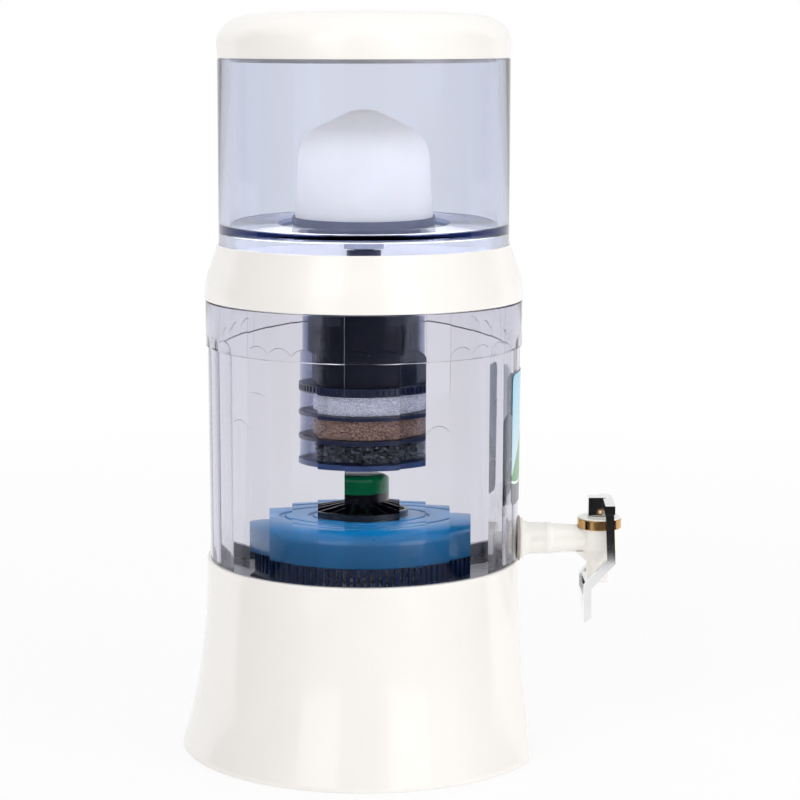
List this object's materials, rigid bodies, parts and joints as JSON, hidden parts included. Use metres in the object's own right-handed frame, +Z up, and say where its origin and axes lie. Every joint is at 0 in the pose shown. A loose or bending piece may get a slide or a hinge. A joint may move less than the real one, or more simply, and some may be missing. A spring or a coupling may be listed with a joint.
{
  "type": "gravity water filter with tap",
  "caption": "Gravity water filter: stand, clear fluted lower tank with a lever tap, collar, clear upper tank with a ceramic dome and hanging filter cartridge, mineral tray and lid.",
  "frame": {"origin": "on the tanks' common axis, at the level of the stand's foot", "axes": "+Z up along the tanks' axis, +X towards the tap"},
  "size_m": [0.3368, 0.28, 0.557],
  "materials": {
    "white_plastic": "gloss white moulding",
    "clear_tank": "clear, faint lavender tint, gloss",
    "clear_blue_tank": "clear, blue-violet tint, gloss",
    "label_film": null,
    "ceramic": "fired ceramic, matt white",
    "grey_blue_plastic": "moulded, satin",
    "seal_rubber": "matt",
    "navy_plastic": "satin moulding",
    "clear_blue_shell": "clear, blue tint",
    "carbon": "matt block",
    "white_granules": "loose rounded granules",
    "brown_granules": "loose rounded granules",
    "black_granules": "loose shiny granules",
    "blue_plastic": "gloss blue moulding",
    "black_plastic": "gloss black moulding",
    "pale_stones": "loose small stones",
    "green_plastic": "translucent green moulding",
    "gasket_rubber": "grey-brown, matt",
    "gold_brass": "polished, gold coloured",
    "chrome": "polished chrome",
    "steel": "plain"
  },
  "bodies": {
    "base": {"stand": "white_plastic", "stand_ribs": "white_plastic", "lower_tank": "clear_tank", "tank_label": "label_film", "tray_basket": "navy_plastic", "tray_stones": "pale_stones", "tray_lid": "blue_plastic", "finned_disc": "black_plastic", "green_cap": "green_plastic", "tap_body": "white_plastic", "tap_gasket": "gasket_rubber", "inner_gasket": "gasket_rubber", "lock_nut": "white_plastic", "bonnet_ring": "gold_brass", "bonnet_cap": "white_plastic", "stem_spring": "steel"},
    "collar": {"collar": "white_plastic"},
    "upper": {"upper_tank": "clear_blue_tank", "ceramic_dome": "ceramic", "dome_base": "grey_blue_plastic", "dome_seal": "seal_rubber", "floor_washer": "seal_rubber", "dome_nut": "grey_blue_plastic", "cartridge_cap": "navy_plastic", "cap_seal": "seal_rubber", "canister_shell": "clear_blue_shell", "carbon_block": "carbon", "ribbed_screen": "navy_plastic", "upper_stage_shell": "clear_blue_shell", "upper_granules": "white_granules", "middle_screen": "navy_plastic", "middle_stage_shell": "clear_blue_shell", "middle_granules": "brown_granules", "lower_screen": "navy_plastic", "lower_stage_shell": "clear_blue_shell", "lower_granules": "black_granules", "cartridge_foot": "navy_plastic"},
    "lid": {"lid": "white_plastic"},
    "valve": {"valve_stem": "steel", "seat_washer": "seal_rubber"},
    "lever": {"lever": "chrome", "lever_pin": "gold_brass"}
  },
  "joints": [
    {"name": "collar_lift", "type": "slide", "parent": "base", "child": "collar", "axis": [0, 0, 1], "range_m": [0, 0.06]},
    {"name": "upper_tank_lift", "type": "slide", "parent": "collar", "child": "upper", "axis": [0, 0, 1], "range_m": [0, 0.18]},
    {"name": "lid_lift", "type": "slide", "parent": "upper", "child": "lid", "axis": [0, 0, 1], "range_m": [0, 0.06]},
    {"name": "valve_stem_slide", "type": "slide", "parent": "base", "child": "valve", "axis": [0, 0, 1], "range_m": [0, 0.0028], "deforming": ["stem_spring"]},
    {"name": "lever_hinge", "type": "hinge", "parent": "valve", "child": "lever", "pos_m": [0.18, 0, 0.1793], "axis": [0, 1, 0], "range_deg": [0, 22], "stiffness_Nm_per_rad": 0.35, "springref_deg": -20.05}
  ],
  "couplings": [
    {"joint": "valve_stem_slide", "follows": "lever_hinge", "m_per_rad": 0.0066}
  ]
}
